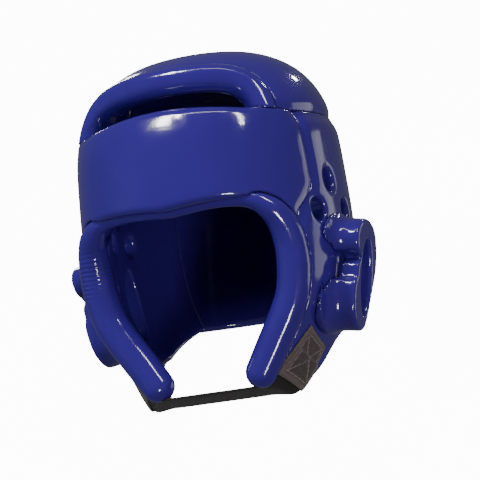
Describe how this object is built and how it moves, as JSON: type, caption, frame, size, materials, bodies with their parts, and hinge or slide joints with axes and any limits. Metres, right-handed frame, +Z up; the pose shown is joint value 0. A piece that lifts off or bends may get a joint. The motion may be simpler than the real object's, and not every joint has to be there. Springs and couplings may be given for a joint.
{
  "type": "martial arts head guard",
  "caption": "Padded foam head guard with a forehead slot, vented sides, a padded face rim, raised ear guards and a chin strap.",
  "frame": {"origin": "where the top of the wearer's head meets the inside of the crown", "axes": "+Z up, -Y the way the face looks, +X towards the wearer's left"},
  "size_m": [0.2444, 0.2391, 0.2732],
  "materials": {
    "vinyl": "glossy dipped vinyl skin over foam",
    "patch_cloth": "grey woven tape with box stitching",
    "webbing": "matt black woven webbing"
  },
  "bodies": {
    "root": {"forehead_pad": "vinyl", "crown_roll": "vinyl", "crown_pad": "vinyl", "back_pad": "vinyl", "side_pad_left": "vinyl", "side_pad_right": "vinyl", "face_rim": "vinyl", "ear_guard_left": "vinyl", "ear_guard_right": "vinyl", "strap_patch_left": "patch_cloth", "strap_patch_right": "patch_cloth", "chin_strap": "webbing"}
  },
  "joints": []
}
